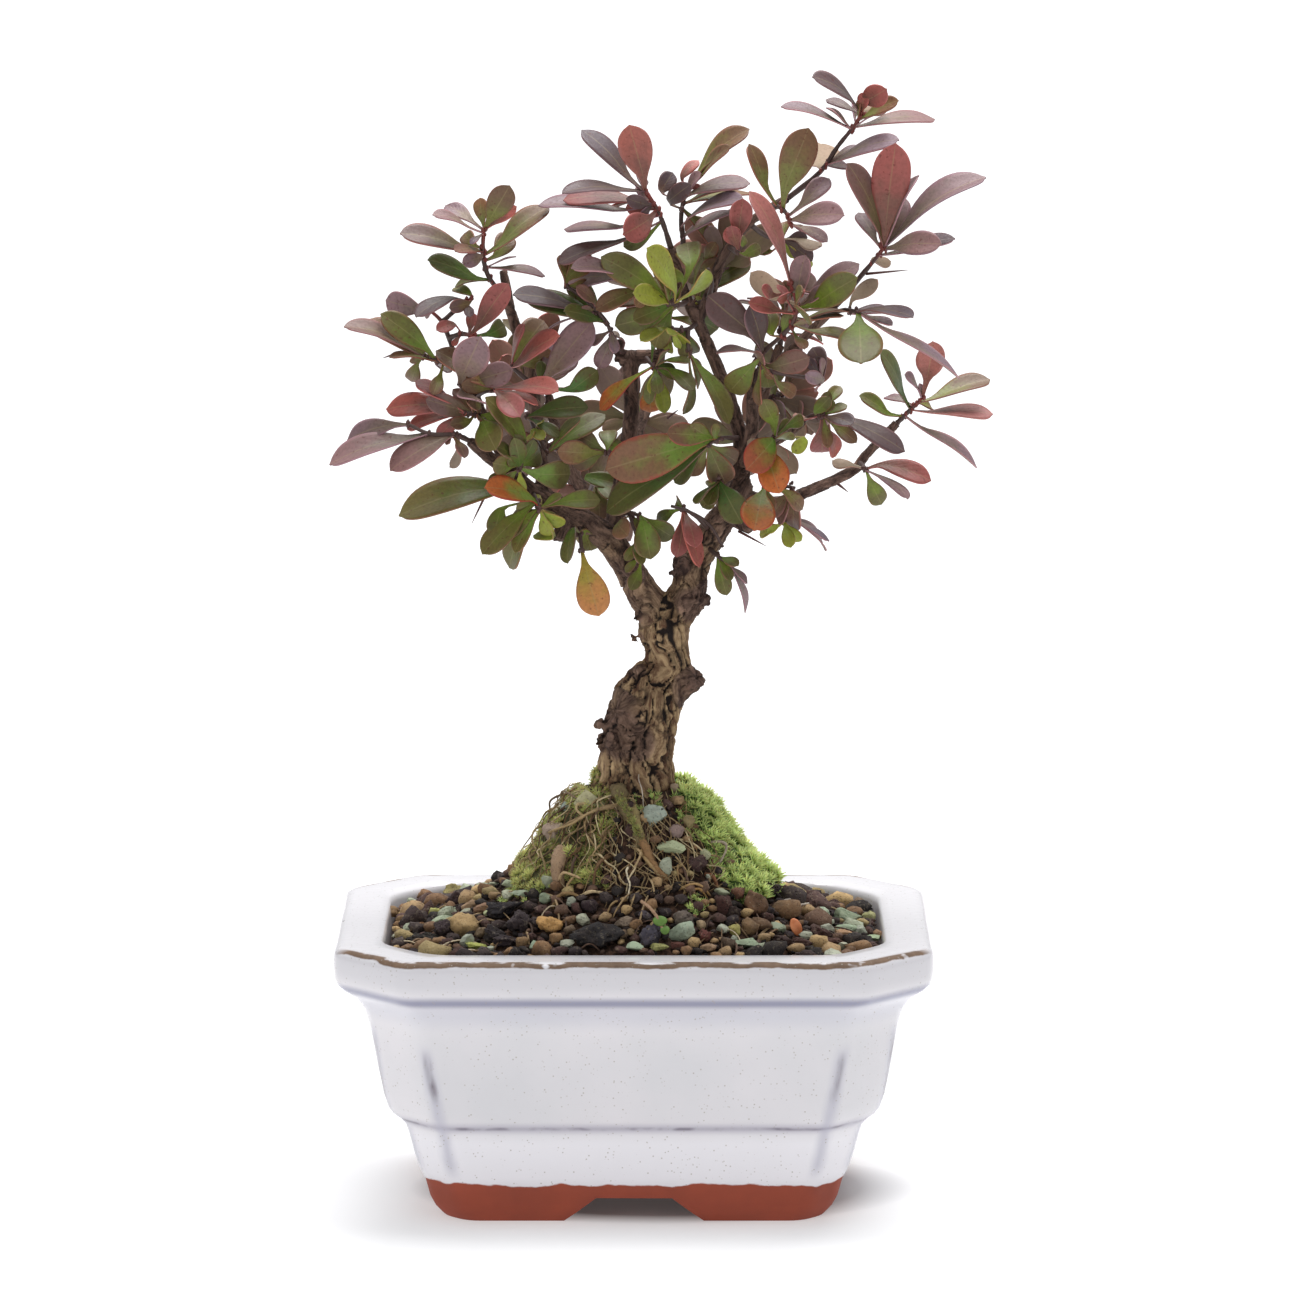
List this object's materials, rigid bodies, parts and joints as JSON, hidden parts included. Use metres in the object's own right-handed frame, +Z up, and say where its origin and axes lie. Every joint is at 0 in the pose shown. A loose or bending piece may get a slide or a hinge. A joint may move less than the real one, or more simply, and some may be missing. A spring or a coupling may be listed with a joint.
{
  "type": "barberry bonsai in pot",
  "caption": "Small-leaved bonsai with a fluted trunk, open crown of red and green leaves, mossy mound and glazed pot with cut corners.",
  "frame": {"origin": "on the table, under the middle of the whole plant and pot", "axes": "+Z up, -Y towards the viewer of the front, +X to the right seen from the front"},
  "size_m": [0.1668, 0.118, 0.2865],
  "materials": {
    "pot_glaze": "gloss",
    "drain_net": "matte",
    "soil_grit": "matte",
    "stone_green_grey": "matte",
    "stone_tan_green": "matte",
    "stone_tan_grey": "matte",
    "moss_lime": "matte",
    "moss_olive": "matte",
    "bark": "matte",
    "leaf_green": "satin",
    "leaf_olive": "satin",
    "leaf_red": "satin",
    "leaf_amber": "satin",
    "leaf_plum": "satin"
  },
  "bodies": {
    "root": {"pot": "pot_glaze", "drain_screen_left": "drain_net", "drain_screen_right": "drain_net", "soil": "soil_grit", "stone_green_grey": "stone_green_grey", "stone_tan_green": "stone_tan_green", "stone_tan_grey": "stone_tan_grey", "moss_right": "moss_lime", "moss_left": "moss_olive", "wood": "bark", "spray_centre_front": "leaf_green", "spray_limb_under": "leaf_amber", "spray_peak_left": "leaf_plum", "spray_right_top": "leaf_plum", "spray_right_inner_top": "leaf_green", "spray_right_core": "leaf_plum", "spray_upper_mid_left": "leaf_green", "spray_inner_left": "leaf_plum", "spray_left_front": "leaf_green", "spray_left_heart": "leaf_green", "spray_right_mid_low": "leaf_amber", "spray_fork_front": "leaf_amber", "spray_fork_left": "leaf_green", "spray_left_peak": "leaf_olive", "spray_far_left": "leaf_red", "spray_far_left_low": "leaf_olive", "spray_left_mid_top": "leaf_plum", "spray_left_mid": "leaf_red", "spray_left_low": "leaf_plum", "spray_crotch_left": "leaf_green", "spray_behind_left": "leaf_green", "spray_peak_right": "leaf_olive", "spray_upper_mid_right": "leaf_olive", "spray_below_mid": "leaf_green", "spray_leader_top": "leaf_plum", "spray_inner_left_low": "leaf_green", "spray_leader_mid": "leaf_olive", "spray_knob": "leaf_amber", "spray_far_tip": "leaf_plum", "spray_diagonal_top": "leaf_plum", "spray_diagonal_low": "leaf_plum", "spray_diagonal_side": "leaf_red", "spray_right_shoulder": "leaf_plum", "spray_right_mid_top": "leaf_red", "spray_fork_under": "leaf_green", "spray_far_right": "leaf_plum", "spray_right_low_mid": "leaf_red", "spray_crotch_right": "leaf_red", "spray_limb_right_under": "leaf_green", "spray_back_left_tip": "leaf_plum", "spray_back_left_mid": "leaf_plum", "spray_back_left_low": "leaf_plum", "spray_back_right_tip": "leaf_plum", "spray_back_right_mid": "leaf_plum", "spray_back_right_low": "leaf_plum", "spray_back_middle_tip": "leaf_plum", "spray_back_middle_low": "leaf_plum", "spray_back_riser": "leaf_plum", "spray_back_diagonal": "leaf_plum"}
  },
  "joints": []
}
